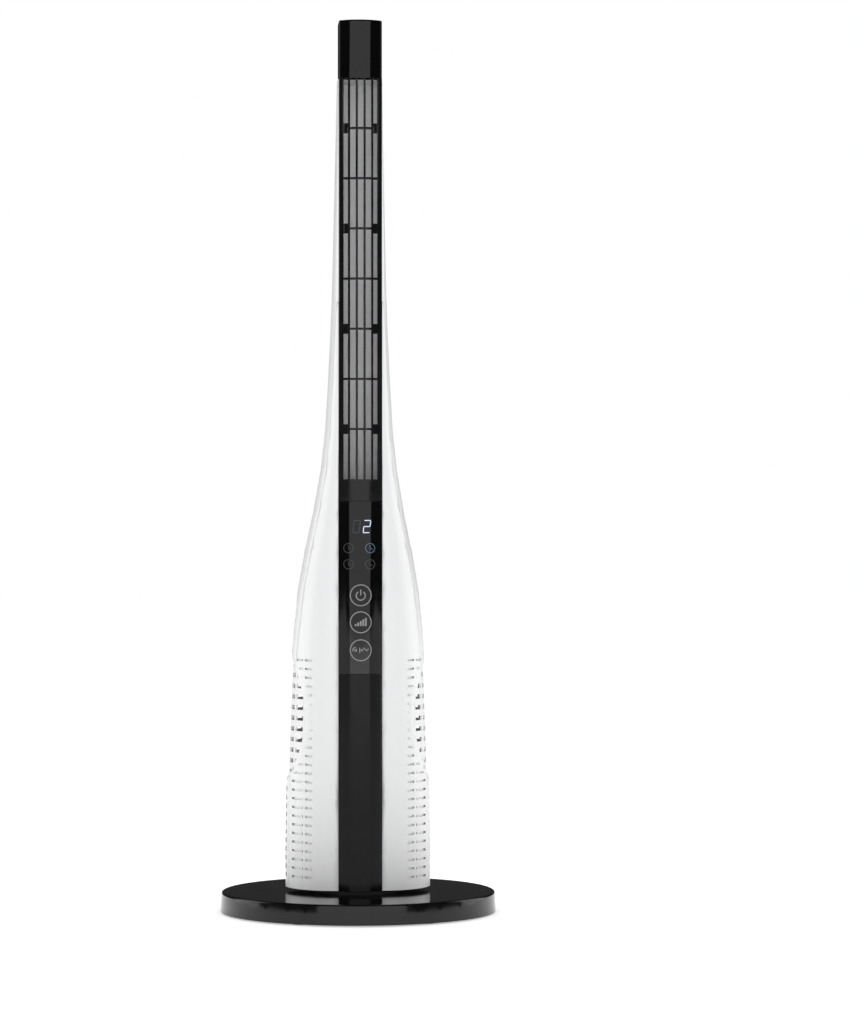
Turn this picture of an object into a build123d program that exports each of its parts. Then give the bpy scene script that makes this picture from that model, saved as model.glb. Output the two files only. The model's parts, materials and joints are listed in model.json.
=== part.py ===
"""Tower fan: weighted round base, swinging tower with a side-intake blower and a slotted front outlet.

Millimetres, Z up, front faces -Y, origin on the floor under the swing axis.
"""
import os
from math import atan, cos, hypot, pi, sin

from build123d import *

# ---- overall sizes ----
FAN_HEIGHT = 998.0
BASE_DIAMETER = 310.0
BASE_HEIGHT = 24.0
BODY_GAP = 4.3
BODY_WIDTH = 164.0
COLUMN_WIDTH = 50.0
STRIP_WIDTH = 48.0
CAP_HEIGHT = 65.0

# ---- tower body outline ----
BODY_BOTTOM = BASE_HEIGHT + BODY_GAP
CAP_GAP = 0.3
BODY_TOP = FAN_HEIGHT - CAP_HEIGHT - CAP_GAP
BODY_LENGTH = BODY_TOP - BODY_BOTTOM
WALL = 2.4
FACE_DEPTH = 48.6
COLUMN_MIDDLE = -20.0
COLUMN_BACK = 16.0
BODY_MIDDLE_SHIFT = 30.0
BODY_BACK_SHIFT = 50.0
SHOULDER = 0.66
FLANK_PULL = 0.36
BACK_PULL = 0.55
BACK_SHOULDER = 0.6
SEAM_GAP = 0.4
# share of body length, share of flare, share of the wing front that the front shell covers
OUTLINE = [
    (0.0, 0.993, 0.95), (0.046, 1.0, 0.95), (0.112, 0.986, 0.95), (0.194, 0.947, 0.94),
    (0.258, 0.905, 0.92), (0.319, 0.839, 0.90), (0.369, 0.758, 0.87), (0.419, 0.619, 0.83),
    (0.468, 0.453, 0.79), (0.518, 0.314, 0.73), (0.568, 0.226, 0.68), (0.632, 0.167, 0.60),
    (0.690, 0.124, 0.50), (0.724, 0.103, 0.22), (0.726, 0.102, 0.0), (0.853, 0.051, 0.0), (1.0, 0.0, 0.0),
]
TIP_SHARE = 0.724

# ---- front strip ----
EDGE_GAP = 0.4
STRIP_HALF = STRIP_WIDTH / 2
WING_EDGE = STRIP_HALF + EDGE_GAP
STRIP_FRONT = -58.0
STRIP_SIDE = -49.0
STRIP_SKIN = 2.2
STRIP_LEDGE = 1.2
STRIP_WALL_OUT = 21.8
STRIP_WALL = 2.2
CHANNEL_FACE = -41.0
CHANNEL_WALL = 1.6
CHANNEL_TOP = 462.0
SEAT = 0.3
TRIM_TOP = 269.8
PANEL_TOP = 462.3
PIECE_GAP = 0.3
STRIP_BACK = CHANNEL_FACE - SEAT

# ---- outlet grille ----
OUTLET_BOTTOM = 486.5
OUTLET_HALF = 18.9
CELL_PITCH = 55.8
RIB_WIDTH = 2.3
RIB_OFFSETS = (4.3, 12.9)
GRILLE_DEPTH = 6.0
BAR_HEIGHT = 2.4
BLOCK_HEIGHT = 11.0

# ---- intakes ----
ROW_PITCH = 9.7
ROW_OPEN = 5.2
LOUVRE_OPEN = 2.6
BAFFLE_SPACE = 2.5
BAFFLE_WALL = 1.2
BAFFLE_EDGE = 51.0
RIB_X = 62.0
FIRST_ROW = 42.0
FRONT_ROWS = 26
REAR_ROWS = 32
OVAL_HEIGHT = 138.0
OVAL_DEPTH = 88.0
OVAL_Z = 219.0
OVAL_Y = 12.0
OVAL_RIM = 6.0
OVAL_PITCH = 12.0
OVAL_OPEN = 5.0
OVAL_ROWS = 5

# ---- base and swing ----
SHEET = 2.5
PLATE_THICK = 3.0
FOOT_PAD = 1.5
FOOT_SINK = 0.8
FOOT_DIAMETER = 20.0
FOOT_CIRCLE = 136.0
FOOT_COUNT = 6
OPENING_RADIUS = 51.0
NECK_RADIUS = 49.0
POST_RADIUS = 12.0
POST_BORE = 8.0
POST_FLANGE = 24.0
RUN = 0.05
PRESS = 0.02
FIT = 0.2
GEAR_MODULE = 1.0
GEAR_TEETH = 60
PINION_TEETH = 12
GEAR_THICK = 5.0
TOOTH_ADD = 0.75
TOOTH_DED = 1.2
BACKLASH = 0.3
BALLAST_IN = 74.0
BALLAST_OUT = 124.0
BALLAST_THICK = 6.0
WALL_RING_IN = 51.0
WALL_RING_OUT = 57.0
THRUST_THICK = 1.5
TURN_FLANGE = 60.0
TURN_THICK = 3.0
PLATE_BOTTOM = FOOT_PAD
PLATE_TOP = PLATE_BOTTOM + PLATE_THICK
COVER_UNDER = BASE_HEIGHT - SHEET
FLANGE_TOP = PLATE_TOP + 3.0
GEAR_TOP = FLANGE_TOP + GEAR_THICK
RING_TOP = 14.7
THRUST_TOP = RING_TOP + THRUST_THICK
TURN_BOTTOM = THRUST_TOP + RUN
TURN_TOP = TURN_BOTTOM + TURN_THICK
BOSS_TOP = 24.0
CLIP_THICK = 1.2
POST_TOP = 27.5
PINION_ARM = GEAR_MODULE * (GEAR_TEETH + PINION_TEETH) / 2

# ---- blower ----
AXIS_Y = 6.0
AXIS_Z = 215.0
WHEEL_OUT = 36.0
WHEEL_IN = 29.5
WHEEL_HALF = 34.0
BLADES = 36
SCROLL_RADIUS = 40.0
SCROLL_SHIFT = 1.0
SCROLL_WALL = 2.0
SCROLL_HALF = 40.0
OUTLET_FRONT = -33.0
OUTLET_BACK = 21.0
SCROLL_TOP = 331.7
PLENUM_BOTTOM = 332.0
PLENUM_TOP = 465.0
DUCT_HALF = 20.0
DUCT_WALL = 1.5
DUCT_MIDDLE = -15.0
DUCT_BACK = 22.5
SHAFT_RADIUS = 3.0
MOTOR_RADIUS = 20.0
FLOOR_THICK = 3.0
FLOOR_TOP = BODY_BOTTOM + FLOOR_THICK

# ---- fasteners ----
SCREW = 1.5
SCREW_HEAD = 3.0
HEAD_THICK = 2.0
HOLE_SLACK = 0.1

PARTS = {}


def tube(outer, inner, bottom, top, x=0.0, y=0.0):
    """Upright ring between two heights."""
    ring = Cylinder(outer, top - bottom, align=(Align.CENTER, Align.CENTER, Align.MIN))
    if inner > 0:
        ring -= Cylinder(inner, top - bottom, align=(Align.CENTER, Align.CENTER, Align.MIN))
    return Pos(x, y, bottom) * ring


def slab(x0, x1, y0, y1, z0, z1):
    """Box between two corners."""
    return Pos((x0 + x1) / 2, (y0 + y1) / 2, (z0 + z1) / 2) * Box(x1 - x0, y1 - y0, z1 - z0)


def lying(radius, x0, x1, bore=0.0):
    """Round bar along X on the blower axis."""
    bar = Cylinder(radius, x1 - x0)
    if bore > 0:
        bar -= Cylinder(bore, x1 - x0)
    return Pos((x0 + x1) / 2, AXIS_Y, AXIS_Z) * Rot(0, 90, 0) * bar


def ring_places(count, radius, start=0.0):
    """Points evenly spaced on a circle round the swing axis."""
    step = 2 * pi / count
    return [(radius * cos(start + step * k), radius * sin(start + step * k)) for k in range(count)]


def screw_up(x, y, head_bottom, length):
    """Screw driven upwards, its head at the bottom."""
    head = tube(SCREW_HEAD, 0, head_bottom, head_bottom + HEAD_THICK, x, y)
    return head + tube(SCREW, 0, head_bottom + HEAD_THICK, head_bottom + HEAD_THICK + length, x, y)


def screw_down(x, y, head_top, length):
    """Screw driven downwards, its head on top."""
    head = tube(SCREW_HEAD, 0, head_top - HEAD_THICK, head_top, x, y)
    return head + tube(SCREW, 0, head_top - HEAD_THICK - length, head_top - HEAD_THICK, x, y)


def solids_of(shapes):
    """One group that keeps each solid separate."""
    return Compound(children=[s for shape in shapes for s in shape.solids()])


# ---------------------------------------------------------------- outline
def bezier(points, t):
    """Point on a four-point curve."""
    s = 1 - t
    weights = (s ** 3, 3 * s * s * t, 3 * s * t * t, t ** 3)
    return tuple(sum(w * p[axis] for w, p in zip(weights, points)) for axis in (0, 1))


def outline_curves(flare, inset, start_x, start_y):
    """Front flank and back curves of the right half of the body at one height."""
    half = (COLUMN_WIDTH + (BODY_WIDTH - COLUMN_WIDTH) * flare) / 2 - inset
    middle = COLUMN_MIDDLE + BODY_MIDDLE_SHIFT * flare
    back = COLUMN_BACK + BODY_BACK_SHIFT * flare - inset
    front_curve = [
        (start_x, start_y), (start_x + SHOULDER * (half - start_x), start_y),
        (half, middle - FLANK_PULL * (middle - start_y)), (half, middle),
    ]
    back_curve = [
        (half, middle), (half, middle + BACK_PULL * (back - middle)), (BACK_SHOULDER * half, back), (0, back),
    ]
    return front_curve, back_curve


def seam_share(flare, cover, gap=0.0):
    """Curve share where the front shell meets the rear shell."""
    curve = outline_curves(flare, 0, WING_EDGE, -FACE_DEPTH)[0]
    target = WING_EDGE + (curve[3][0] - WING_EDGE) * cover
    low, high = 0.0, 1.0
    for _ in range(40):
        middle = (low + high) / 2
        if bezier(curve, middle)[0] < target:
            low = middle
        else:
            high = middle
    step = 0.01
    here, there = bezier(curve, low), bezier(curve, low + step)
    return low + gap * step / hypot(there[0] - here[0], there[1] - here[1])


def height_of(share):
    """Height of a share of the body length."""
    return BODY_BOTTOM + share * BODY_LENGTH


def half_outline(flare, inset, start_x, start_y, first):
    """Points from the seam round the right flank to the middle of the back."""
    front_curve, back_curve = outline_curves(flare, inset, start_x, start_y)
    front_count, back_count = 7, 8
    points = [bezier(front_curve, first + (1 - first) * k / front_count) for k in range(front_count)]
    return points + [bezier(back_curve, k / back_count) for k in range(back_count + 1)]


def whole(points, z):
    """Mirror a right half outline into one run across the back."""
    right = [(x, y, z) for x, y in points]
    return right + [(-x, y, z) for x, y in points[-2::-1]]


def band(outer, inner):
    """Closed section between an outer and an inner run of points."""
    return Wire([Spline(*outer), Line(outer[-1], inner[-1]), Spline(*inner[::-1]), Line(inner[0], outer[0])])


def rear_section(share, flare, cover, inset=0.0, wall=WALL):
    """Section of the rear shell at one height."""
    z = height_of(share)
    if cover == 0:
        front = -FACE_DEPTH + STRIP_LEDGE
        outer = half_outline(flare, 0, WING_EDGE, front, 0)
        inner = half_outline(flare, wall, WING_EDGE - wall, front, 0)
    else:
        first = seam_share(flare, cover, SEAM_GAP)
        outer = half_outline(flare, inset, WING_EDGE, -FACE_DEPTH + inset, first)
        inner = half_outline(flare, inset + wall, WING_EDGE, -FACE_DEPTH + inset + wall, first)
    return band(whole(outer, z), whole(inner, z))


def wing_section(share, flare, cover, side, inset=0.0, wall=WALL, last=None):
    """Section of one front wing, from beside the strip to the seam."""
    z = height_of(share)
    share_end = seam_share(flare, cover) if last is None else last
    outer_curve = outline_curves(flare, inset, WING_EDGE, -FACE_DEPTH + inset)[0]
    inner_curve = outline_curves(flare, inset + wall, WING_EDGE, -FACE_DEPTH + inset + wall)[0]
    count = 8
    steps = [share_end * k / count for k in range(count + 1)]
    outer = [(side * x, y, z) for x, y in (bezier(outer_curve, t) for t in steps)]
    inner = [(side * x, y, z) for x, y in (bezier(inner_curve, t) for t in steps)]
    return band(outer, inner)


# ---------------------------------------------------------------- shells
def oval(growth):
    """Bar along X with the oval outline of the side intake."""
    face = Ellipse(OVAL_HEIGHT / 2 + growth, OVAL_DEPTH / 2 + growth)
    return Pos(0, OVAL_Y, OVAL_Z) * Rot(0, 90, 0) * extrude(face, amount=BODY_WIDTH, both=True)


def row_heights(count):
    """Middle heights of the intake rows."""
    return [FIRST_ROW + ROW_PITCH * k for k in range(count)]


def front_louvres():
    """Cutters for the rows of slots on the front wings."""
    cells = []
    for z in row_heights(FRONT_ROWS):
        for side in (1, -1):
            cells.append(Pos(side * 57.2, -40, z) * Box(7.6, 60, LOUVRE_OPEN))
            cells.append(Pos(side * 69.2, -20, z) * Box(11.4, 60, LOUVRE_OPEN))
    return Part() + cells - oval(OVAL_RIM)


def make_louvre_baffle(side):
    """White screen behind the wing louvres, its openings midway between theirs."""
    stations = [s for s in OUTLINE if s[0] < 0.33]
    inset = WALL + BAFFLE_SPACE
    screen = Part() + Solid.make_loft([wing_section(*s, side, inset, BAFFLE_WALL) for s in stations], True)
    ribs = Part() + Solid.make_loft([wing_section(*s, side, WALL + SEAT, BAFFLE_SPACE) for s in stations], True)
    low, high = FLOOR_TOP + SEAT, FIRST_ROW + ROW_PITCH * FRONT_ROWS
    x0, x1 = sorted((side * RIB_X - 0.6, side * RIB_X + 0.6))
    ribs = ribs & slab(x0, x1, -60, 60, low, high)
    edge0, edge1 = sorted((side * BAFFLE_EDGE, side * BODY_WIDTH))
    screen = screen & slab(edge0, edge1, -60, 60, low, high)
    cells = []
    for z in row_heights(FRONT_ROWS - 1):
        for x, width in ((57.2, 7.6), (69.2, 11.4)):
            cells.append(Pos(side * x, -30, z + ROW_PITCH / 2) * Box(width, 70, LOUVRE_OPEN + 0.8))
    return screen + ribs - oval(OVAL_RIM - 2.0) - (Part() + cells)


def rear_louvres():
    """Cutters for the rows of slots on the rear shell."""
    cells = []
    for z in row_heights(REAR_ROWS):
        for side in (1, -1):
            for x in (9, 26, 43):
                cells.append(Pos(side * x, 60, z) * Box(13, 60, ROW_OPEN))
            for y in (6, 22):
                cells.append(Pos(side * 75, y, z) * Box(44, 12, ROW_OPEN))
    return Part() + cells - oval(OVAL_RIM)


def make_front_shell():
    """Two wings joined by the channel that carries the black strip."""
    stations = [s for s in OUTLINE if s[0] <= TIP_SHARE]
    shell = Part()
    for side in (1, -1):
        shell += Solid.make_loft([wing_section(*s, side) for s in stations], True)
    wall_top = height_of(0.69)
    floor_back = CHANNEL_FACE + WALL
    for side in (1, -1):
        x0, x1 = sorted((side * WING_EDGE, side * (WING_EDGE + CHANNEL_WALL)))
        shell += slab(x0, x1, -FACE_DEPTH + 1.5, floor_back, BODY_BOTTOM, wall_top)
    shell += slab(-WING_EDGE, WING_EDGE, CHANNEL_FACE, floor_back, BODY_BOTTOM, CHANNEL_TOP)
    for x, y in FLOOR_SCREWS_FRONT:
        shell += tube(4.0, 0, FLOOR_TOP, FLOOR_TOP + 14, x, y)
        shell += slab(x - 1, x + 1, floor_back - 0.5, y - 3, FLOOR_TOP, FLOOR_TOP + 14)
        shell -= tube(SCREW + HOLE_SLACK, 0, FLOOR_TOP, FLOOR_TOP + 11, x, y)
    return shell - oval(0) - front_louvres()


def make_rear_shell():
    """Flanks, back and column of the tower."""
    shell = Part() + Solid.make_loft([rear_section(*s) for s in OUTLINE], True)
    for x, y in FLOOR_SCREWS_REAR:
        shell += tube(4.0, 0, FLOOR_TOP, FLOOR_TOP + 14, x, y)
        shell += slab(x - 1, x + 1, y + 3, COLUMN_BACK + BODY_BACK_SHIFT - WALL - 0.9, FLOOR_TOP, FLOOR_TOP + 14)
        shell -= tube(SCREW + HOLE_SLACK, 0, FLOOR_TOP, FLOOR_TOP + 11, x, y)
    return shell - oval(0) - rear_louvres()


def make_side_grille(side):
    """Oval slatted grille set behind the oval opening of one flank."""
    stations = [s for s in OUTLINE if 0.1 < s[0] < 0.4]
    depth, thick = WALL + SEAT, 1.8
    sections = []
    for share, flare, _ in stations:
        z = height_of(share)
        outer = half_outline(flare, depth, WING_EDGE, -FACE_DEPTH + depth, 0.3)
        inner = half_outline(flare, depth + thick, WING_EDGE, -FACE_DEPTH + depth + thick, 0.3)
        sections.append(band([(side * x, y, z) for x, y in outer], [(side * x, y, z) for x, y in inner]))
    panel = Part() + Solid.make_loft(sections, True)
    panel = panel & oval(3.0)
    cells = []
    for row in range(-OVAL_ROWS, OVAL_ROWS + 1):
        for y in (-19, -2, 15, 32, 47):
            cells.append(Pos(side * 60, y, OVAL_Z + OVAL_PITCH * row) * Box(60, 13, OVAL_OPEN))
    return panel - ((Part() + cells) & oval(-4.0))


# ---------------------------------------------------------------- front strip
def arc_y(x, radius):
    """Front surface position of an arc about the strip's centre of curvature."""
    return STRIP_FRONT + STRIP_RADIUS - (radius ** 2 - x ** 2) ** 0.5


SAGITTA = STRIP_SIDE - STRIP_FRONT
STRIP_RADIUS = (STRIP_HALF ** 2 + SAGITTA ** 2) / (2 * SAGITTA)
INNER_RADIUS = STRIP_RADIUS - STRIP_SKIN


def strip_face(skin=STRIP_SKIN, back=STRIP_BACK):
    """Plan section of the black strip: a curved front, thin edges and two side walls."""
    ledge = STRIP_SIDE + STRIP_LEDGE
    wall_in = STRIP_WALL_OUT - STRIP_WALL
    inner = STRIP_RADIUS - skin
    edges = [
        ThreePointArc((-STRIP_HALF, STRIP_SIDE), (0, STRIP_FRONT), (STRIP_HALF, STRIP_SIDE)),
        Line((STRIP_HALF, STRIP_SIDE), (STRIP_HALF, ledge)), Line((STRIP_HALF, ledge), (STRIP_WALL_OUT, ledge)),
        Line((STRIP_WALL_OUT, ledge), (STRIP_WALL_OUT, back)), Line((STRIP_WALL_OUT, back), (wall_in, back)),
        Line((wall_in, back), (wall_in, arc_y(wall_in, inner))),
        ThreePointArc((wall_in, arc_y(wall_in, inner)), (0, STRIP_FRONT + skin), (-wall_in, arc_y(wall_in, inner))),
        Line((-wall_in, arc_y(wall_in, inner)), (-wall_in, back)), Line((-wall_in, back), (-STRIP_WALL_OUT, back)),
        Line((-STRIP_WALL_OUT, back), (-STRIP_WALL_OUT, ledge)), Line((-STRIP_WALL_OUT, ledge), (-STRIP_HALF, ledge)),
        Line((-STRIP_HALF, ledge), (-STRIP_HALF, STRIP_SIDE)),
    ]
    return make_face(Wire(edges).edges())


def strip_run(bottom, top, skin=STRIP_SKIN, back=STRIP_BACK):
    """Length of the black strip between two heights."""
    return Pos(0, 0, bottom) * extrude(strip_face(skin, back), amount=top - bottom, dir=(0, 0, 1))


def seat_tabs(heights):
    """Short ribs behind a strip that reach its channel."""
    wall_in = STRIP_WALL_OUT - STRIP_WALL
    return [slab(s * wall_in - 3, s * wall_in + 3, STRIP_BACK - 1.5, STRIP_BACK, z, z + 8) & slab(
        min(s * STRIP_WALL_OUT, s * 16), max(s * STRIP_WALL_OUT, s * 16), STRIP_BACK - 2, CHANNEL_FACE, z, z + 8)
        for z in heights for s in (1, -1)]


def make_lower_trim():
    """Plain black strip below the touch panel."""
    return strip_run(BODY_BOTTOM, TRIM_TOP) + seat_tabs((60, 150, 240))


def make_touch_panel():
    """Glossy panel over the keys and the display."""
    return strip_run(TRIM_TOP + PIECE_GAP, PANEL_TOP) + seat_tabs((280, 440))


def make_outlet_grille():
    """Slotted black outlet with ribs, thin bars and alternate solid blocks."""
    bottom, top = PANEL_TOP + PIECE_GAP, FAN_HEIGHT - CAP_HEIGHT
    frame = strip_run(bottom, top)
    thick = strip_run(bottom, top, GRILLE_DEPTH, STRIP_BACK) & slab(
        -OUTLET_HALF, OUTLET_HALF, STRIP_FRONT, STRIP_SIDE + 1, OUTLET_BOTTOM, top)
    frame -= slab(-OUTLET_HALF, OUTLET_HALF, STRIP_FRONT - 1, STRIP_BACK + 1, OUTLET_BOTTOM, top + 1)
    bars = []
    for offset in RIB_OFFSETS:
        for side in (1, -1):
            x = side * offset
            bars.append(slab(x - RIB_WIDTH / 2, x + RIB_WIDTH / 2, STRIP_FRONT, 0, OUTLET_BOTTOM, top))
    cells = round((top - OUTLET_BOTTOM) / CELL_PITCH)
    for k in range(1, cells):
        z = top - CELL_PITCH * k
        bars.append(slab(-OUTLET_HALF, OUTLET_HALF, STRIP_FRONT, 0, z - BAR_HEIGHT / 2, z + BAR_HEIGHT / 2))
        if k % 2:
            for side in (1, -1):
                x0, x1 = sorted((side * RIB_OFFSETS[1], side * OUTLET_HALF))
                bars.append(slab(x0, x1, STRIP_FRONT, 0, z - BLOCK_HEIGHT / 2, z + BLOCK_HEIGHT / 2))
    ribs = thick & (Part() + bars)
    rails = []
    for side in (1, -1):
        x0, x1 = sorted((side * OUTLET_HALF, side * STRIP_WALL_OUT))
        rails.append(slab(x0, x1, STRIP_SIDE, STRIP_BACK, OUTLET_BOTTOM, top))
    return frame + ribs + rails


def make_top_cap():
    """Hollow black cap over the top of the column."""
    bottom, top = FAN_HEIGHT - CAP_HEIGHT, FAN_HEIGHT
    back = COLUMN_BACK - 1

    def plan(inset):
        half = STRIP_HALF - inset
        side_y = STRIP_SIDE + inset * 0.3
        edges = [
            ThreePointArc((-half, side_y), (0, STRIP_FRONT + inset), (half, side_y)),
            Line((half, side_y), (half, COLUMN_MIDDLE)),
            Bezier((half, COLUMN_MIDDLE), (half, back - inset - 16), (14, back - inset), (0, back - inset)),
            Bezier((0, back - inset), (-14, back - inset), (-half, back - inset - 16), (-half, COLUMN_MIDDLE)),
            Line((-half, COLUMN_MIDDLE), (-half, side_y)),
        ]
        return make_face(Wire(edges).edges())

    cap = Part() + Pos(0, 0, bottom) * extrude(plan(0), amount=top - bottom, dir=(0, 0, 1))
    cap = fillet(cap.faces().sort_by(Axis.Z)[-1].edges(), 2.0)
    return cap - Pos(0, 0, bottom) * extrude(plan(STRIP_SKIN), amount=top - bottom - SHEET, dir=(0, 0, 1))


# ---------------------------------------------------------------- air path
def make_duct_liner():
    """Grey channel that carries the air up behind the outlet."""
    def plan(half, depth):
        front = DUCT_MIDDLE - STRIP_BACK
        box = Pos(0, DUCT_MIDDLE - front / 2) * Rectangle(2 * half, front)
        round_back = Pos(0, DUCT_MIDDLE) * Ellipse(half, depth)
        return box + (round_back & Pos(0, DUCT_MIDDLE + depth / 2) * Rectangle(4 * half, depth))
    length = BODY_TOP - PLENUM_TOP
    outer = extrude(plan(DUCT_HALF + DUCT_WALL, DUCT_BACK + DUCT_WALL), amount=length, dir=(0, 0, 1))
    inner = extrude(plan(DUCT_HALF, DUCT_BACK), amount=length - DUCT_WALL, dir=(0, 0, 1))
    duct = Pos(0, 0, PLENUM_TOP) * (outer - inner)
    return duct - slab(-30, 30, STRIP_BACK - 5, CHANNEL_FACE + WALL + SEAT, PLENUM_TOP - 5, CHANNEL_TOP + SEAT)


def make_plenum():
    """Tapering duct from the blower outlet to the column."""
    def level(inset, z, half, front, back, corner):
        face = RectangleRounded(2 * (half - inset), back - front - 2 * inset, corner - inset)
        return Pos(0, (front + back) / 2, z) * face
    wall = SCROLL_WALL
    low = (SCROLL_HALF, OUTLET_FRONT - wall, OUTLET_BACK + wall, 8)
    high = (DUCT_HALF + DUCT_WALL, CHANNEL_FACE + WALL + SEAT, DUCT_MIDDLE + DUCT_BACK, 8)
    outer = loft([level(0, PLENUM_BOTTOM, *low), level(0, PLENUM_TOP, *high)])
    inner = loft([level(wall, PLENUM_BOTTOM - 0.01, *low), level(wall, PLENUM_TOP + 0.01, *high)])
    return outer - inner


def scroll_profile(growth):
    """Side outline of the blower housing, as a bar along X."""
    disc = Pos(SCROLL_SHIFT + AXIS_Y, AXIS_Z) * Circle(SCROLL_RADIUS + growth)
    width = OUTLET_BACK - OUTLET_FRONT + 2 * growth
    chimney = Pos((OUTLET_FRONT + OUTLET_BACK) / 2, (AXIS_Z + SCROLL_TOP) / 2) * Rectangle(width, SCROLL_TOP - AXIS_Z)
    return disc + chimney


def scroll_bar(growth, x0, x1):
    """Blower housing outline as a solid between two planes across X."""
    plane = Plane(origin=(x0, 0, 0), x_dir=(0, 1, 0), z_dir=(1, 0, 0))
    return extrude(plane * scroll_profile(growth), amount=x1 - x0, dir=(1, 0, 0))


def make_scroll(side):
    """One half of the blower housing with its inlet opening."""
    x0, x1 = sorted((0.0, side * SCROLL_HALF))
    inner0, inner1 = sorted((0.0, side * (SCROLL_HALF - SCROLL_WALL)))
    half = scroll_bar(SCROLL_WALL, x0, x1) - scroll_bar(0, inner0, inner1)
    half -= slab(inner0, inner1, OUTLET_FRONT, OUTLET_BACK, SCROLL_TOP - 5, SCROLL_TOP + 5)
    half -= lying(WHEEL_IN, min(x0, x1) - 1, max(x0, x1) + 1)
    half -= scroll_screw_holes()
    return half


def make_inlet_spider(side, hub_out, hub_in):
    """Three-armed carrier across one inlet, fixed to the housing wall."""
    x0, x1 = sorted((side * SCROLL_HALF, side * (SCROLL_HALF + 3)))
    hoop = lying(WHEEL_IN + 8, x0, x1, WHEEL_IN)
    hub0, hub1 = sorted((side * SCROLL_HALF, side * (SCROLL_HALF + 8)))
    hub = lying(hub_out, hub0, hub1)
    arms = []
    for k in range(3):
        arm = Pos(0, 0, (hub_out + WHEEL_IN) / 2) * Box(3, 5, WHEEL_IN - hub_out + 4)
        arms.append(Pos((x0 + x1) / 2, AXIS_Y, AXIS_Z) * Rot(120 * k + 60, 0, 0) * arm)
    spider = hoop + hub + arms - lying(hub_in, -100, 100)
    return spider - scroll_screw_holes()


def scroll_screw_places():
    """Heights and depths of the inlet fixings."""
    radius = WHEEL_IN + 4.5
    return [(AXIS_Y + radius * sin(2 * pi * k / 3), AXIS_Z + radius * cos(2 * pi * k / 3)) for k in range(3)]


def scroll_screw_holes():
    """Clearance through the spiders and housing walls."""
    bars = []
    for y, z in scroll_screw_places():
        for side in (1, -1):
            bar = Cylinder(SCREW + HOLE_SLACK, 12)
            bars.append(Pos(side * SCROLL_HALF, y, z) * Rot(0, 90, 0) * bar)
    return bars


def make_scroll_screws():
    """Six screws that hold the inlet spiders."""
    screws = []
    for y, z in scroll_screw_places():
        for side in (1, -1):
            head = Pos(side * (SCROLL_HALF + 3 + HEAD_THICK / 2), y, z) * Rot(0, 90, 0) * Cylinder(SCREW_HEAD, HEAD_THICK)
            shank = Pos(side * (SCROLL_HALF + 0.5), y, z) * Rot(0, 90, 0) * Cylinder(SCREW, 5)
            screws.append(head + shank)
    return solids_of(screws)


# ---------------------------------------------------------------- blower wheel and motor
def make_impeller():
    """Wheel with a centre disc, two rims and curved blades."""
    blade = Pos((WHEEL_IN + WHEEL_OUT) / 2, 0) * Rot(0, 0, 35) * Rectangle(7.0, 1.1)
    blades = [Rot(0, 0, 360 / BLADES * k) * blade for k in range(BLADES)]
    fins = extrude(Sketch() + blades, amount=WHEEL_HALF, both=True)
    rims = Pos(0, 0, -WHEEL_HALF) * (Cylinder(WHEEL_OUT + 1, 3) - Cylinder(WHEEL_IN + 2, 3))
    rims += Pos(0, 0, WHEEL_HALF) * (Cylinder(WHEEL_OUT + 1, 3) - Cylinder(WHEEL_IN + 2, 3))
    disc = Cylinder(WHEEL_OUT - 1, 2) + Cylinder(8, 16)
    wheel = fins + rims + disc - Cylinder(SHAFT_RADIUS + PRESS, 40)
    wheel -= Pos(0, 0, 5) * Rot(90, 0, 0) * Cylinder(SCREW, 30, align=(Align.CENTER, Align.CENTER, Align.MIN))
    return Pos(0, AXIS_Y, AXIS_Z) * Rot(0, 90, 0) * wheel


def make_wheel_screw():
    """Grub screw that locks the wheel to the shaft."""
    pin = Pos(0, 0, 5) * Rot(90, 0, 0) * Pos(0, 0, 3.2) * Cylinder(
        SCREW - 0.02, 4, align=(Align.CENTER, Align.CENTER, Align.MIN))
    return Pos(0, AXIS_Y, AXIS_Z) * Rot(0, 90, 0) * pin


MOTOR_FAR = -(SCROLL_HALF + 12)
MOTOR_NEAR = -22.0


def make_motor_can():
    """Round motor case sitting in the left inlet."""
    can = lying(MOTOR_RADIUS, MOTOR_FAR, MOTOR_NEAR) - lying(MOTOR_RADIUS - 1.5, MOTOR_FAR + 2, MOTOR_NEAR - 2)
    return can - lying(5.0 + FIT, MOTOR_FAR - 5, MOTOR_NEAR + 5)


def make_shaft_bushes():
    """Three plain bearings for the blower shaft."""
    bushes = [
        lying(5.0, MOTOR_FAR, MOTOR_FAR + 5, SHAFT_RADIUS + RUN),
        lying(5.0, MOTOR_NEAR - 5, MOTOR_NEAR, SHAFT_RADIUS + RUN),
        lying(5.0, SCROLL_HALF, SCROLL_HALF + 8, SHAFT_RADIUS + RUN),
    ]
    return solids_of(bushes)


def make_stator():
    """Laminated ring with inward poles."""
    x0, x1 = MOTOR_FAR + 8, MOTOR_NEAR - 8
    ring = lying(MOTOR_RADIUS - 1.7, x0, x1, MOTOR_RADIUS - 4.5)
    poles = []
    for k in range(6):
        pole = Pos(0, 0, 14) * Box(x1 - x0, 3, 4.5)
        poles.append(Pos((x0 + x1) / 2, AXIS_Y, AXIS_Z) * Rot(60 * k, 0, 0) * pole)
    return ring + poles


def make_windings():
    """Six copper coils, one round each pole."""
    x0, x1 = MOTOR_FAR + 8, MOTOR_NEAR - 8
    coils = []
    for k in range(6):
        coil = Box(x1 - x0 + 3.4, 6.4, 2.2) - Box(x1 - x0 + 0.4, 3.4, 3)
        coils.append(Pos((x0 + x1) / 2, AXIS_Y, AXIS_Z) * Rot(60 * k, 0, 0) * Pos(0, 0, 13.6) * coil)
    return solids_of(coils)


def make_rotor():
    """Magnet sleeve on the shaft."""
    return lying(10.5, MOTOR_FAR + 8, MOTOR_NEAR - 8, SHAFT_RADIUS + PRESS)


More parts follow.
